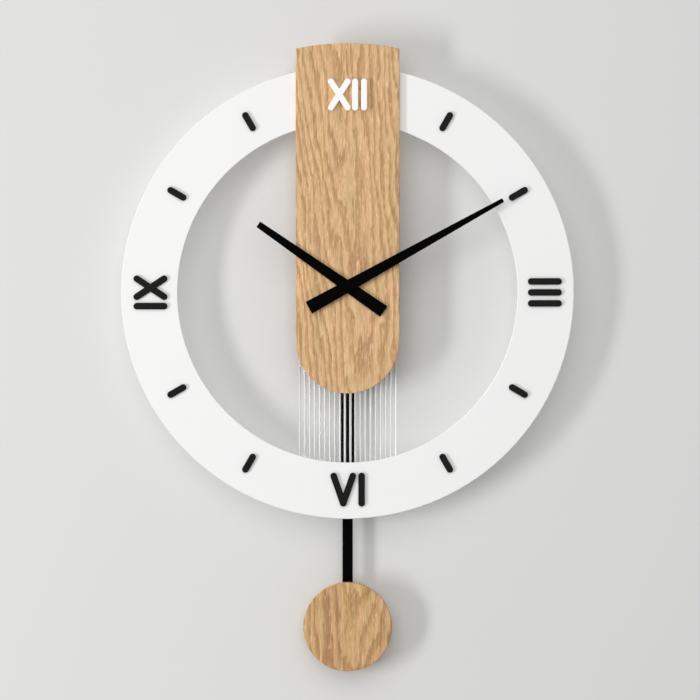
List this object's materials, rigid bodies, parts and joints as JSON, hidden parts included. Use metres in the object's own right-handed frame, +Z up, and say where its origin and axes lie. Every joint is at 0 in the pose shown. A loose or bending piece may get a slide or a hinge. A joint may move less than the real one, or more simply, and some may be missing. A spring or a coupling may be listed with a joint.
{
  "type": "pendulum wall clock",
  "caption": "Wall clock: white ring dial let into a tall oak board, reeded clear strip behind, black tapered hands, oak disc bob on a black strip, quartz movement at the back.",
  "frame": {"origin": "centre of the hanging eye on the wall plane, where the nail enters", "axes": "+X to the right as seen from the front, +Y into the wall, +Z up; the dial faces -Y"},
  "size_m": [0.38, 0.0346, 0.5273],
  "materials": {
    "oak": "satin, clear lacquered, grain running up and down",
    "ring_white": "smooth white paint",
    "clear_acrylic": "clear, reeded, polished",
    "black_numeral": "satin black",
    "white_numeral": "satin white",
    "black_sheet": "flat black paint on aluminium sheet",
    "movement_black": "fine grained moulding",
    "wheel_plastic": "cream moulding",
    "plate_plastic": "grey moulding",
    "bobbin_plastic": "green moulding",
    "circuit": "green lacquer",
    "chip_black": "resin drop",
    "copper_wire": "enamelled copper wire, wound",
    "brass": "turned",
    "steel": "zinc plated",
    "core_steel": "stamped, dull",
    "magnet": "sintered, dark grey",
    "cell": "printed sleeve in plain grey"
  },
  "bodies": {
    "clock_frame": {"oak_board": "oak", "dial_ring": "ring_white", "reeded_panel": "clear_acrylic", "numeral_xii": "white_numeral", "numeral_iii": "black_numeral", "numeral_vi": "black_numeral", "numeral_ix": "black_numeral", "hour_marks": "black_numeral", "stator": "core_steel", "coil_bobbin": "bobbin_plastic", "motor_coil": "copper_wire", "train_plate": "plate_plastic", "circuit_board": "circuit", "timing_chip": "chip_black", "quartz_crystal": "steel", "movement_case": "movement_black", "movement_cover": "movement_black", "hanger_plate": "steel", "threaded_bushing": "brass", "fixing_washer": "brass", "fixing_nut": "brass", "battery": "cell", "positive_contact": "steel", "negative_contact": "steel", "pivot_pin": "steel", "drive_bobbin": "bobbin_plastic", "drive_coil": "copper_wire", "drive_circuit": "circuit", "hanger_screws": "steel", "cover_screws": "steel", "train_plate_screws": "steel", "board_screws": "steel", "ring_top_screws": "steel", "ring_foot_screws": "steel"},
    "minute_group": {"centre_arbor": "wheel_plastic", "clutch_spring": "steel", "minute_hand": "black_sheet", "minute_hand_bush": "black_sheet"},
    "hour_group": {"hour_wheel": "wheel_plastic", "hour_hand": "black_sheet", "hour_hand_bush": "black_sheet"},
    "motion_wheel": {"motion_wheel": "wheel_plastic"},
    "set_knob": {"set_knob": "wheel_plastic"},
    "rotor": {"rotor_arbor": "wheel_plastic", "rotor_magnet": "magnet"},
    "step_wheel": {"step_wheel": "wheel_plastic"},
    "second_wheel": {"second_wheel": "wheel_plastic"},
    "third_wheel": {"third_wheel": "wheel_plastic"},
    "centre_wheel": {"centre_wheel": "wheel_plastic"},
    "pendulum": {"pendulum_arm": "wheel_plastic", "arm_magnet": "magnet", "pendulum_rod": "black_sheet", "pendulum_bob": "oak", "bob_screws": "steel"}
  },
  "joints": [
    {"name": "minute_turn", "type": "hinge", "parent": "clock_frame", "child": "minute_group", "pos_m": [0, 0, -0.047], "axis": [0, 1, 0], "continuous": true},
    {"name": "hour_turn", "type": "hinge", "parent": "clock_frame", "child": "hour_group", "pos_m": [0, 0, -0.047], "axis": [0, 1, 0], "continuous": true},
    {"name": "motion_wheel_turn", "type": "hinge", "parent": "clock_frame", "child": "motion_wheel", "pos_m": [0, 0, -0.0338], "axis": [0, 1, 0], "continuous": true},
    {"name": "set_knob_turn", "type": "hinge", "parent": "clock_frame", "child": "set_knob", "pos_m": [0.0124, 0, -0.03831], "axis": [0, 1, 0], "continuous": true},
    {"name": "rotor_turn", "type": "hinge", "parent": "clock_frame", "child": "rotor", "pos_m": [-0.01014, 0, -0.02536], "axis": [0, 1, 0], "continuous": true},
    {"name": "step_wheel_turn", "type": "hinge", "parent": "clock_frame", "child": "step_wheel", "pos_m": [-0.0162, 0, -0.02886], "axis": [0, 1, 0], "continuous": true},
    {"name": "second_wheel_turn", "type": "hinge", "parent": "clock_frame", "child": "second_wheel", "pos_m": [-0.0126, 0, -0.0351], "axis": [0, 1, 0], "continuous": true},
    {"name": "third_wheel_turn", "type": "hinge", "parent": "clock_frame", "child": "third_wheel", "pos_m": [-0.0126, 0, -0.047], "axis": [0, 1, 0], "continuous": true},
    {"name": "centre_wheel_turn", "type": "hinge", "parent": "clock_frame", "child": "centre_wheel", "pos_m": [0, 0, -0.047], "axis": [0, 1, 0], "continuous": true},
    {"name": "pendulum_swing", "type": "hinge", "parent": "clock_frame", "child": "pendulum", "pos_m": [0, 0, -0.087], "axis": [0, 1, 0], "range_deg": [-5, 5]}
  ],
  "couplings": [
    {"joint": "motion_wheel_turn", "follows": "minute_turn", "ratio": -0.33333},
    {"joint": "hour_turn", "follows": "minute_turn", "ratio": 0.083333},
    {"joint": "set_knob_turn", "follows": "minute_turn", "ratio": 1},
    {"joint": "step_wheel_turn", "follows": "rotor_turn", "ratio": -0.16667},
    {"joint": "second_wheel_turn", "follows": "rotor_turn", "ratio": 0.033333},
    {"joint": "third_wheel_turn", "follows": "rotor_turn", "ratio": -0.0044444},
    {"joint": "centre_wheel_turn", "follows": "rotor_turn", "ratio": 0.00055556}
  ]
}
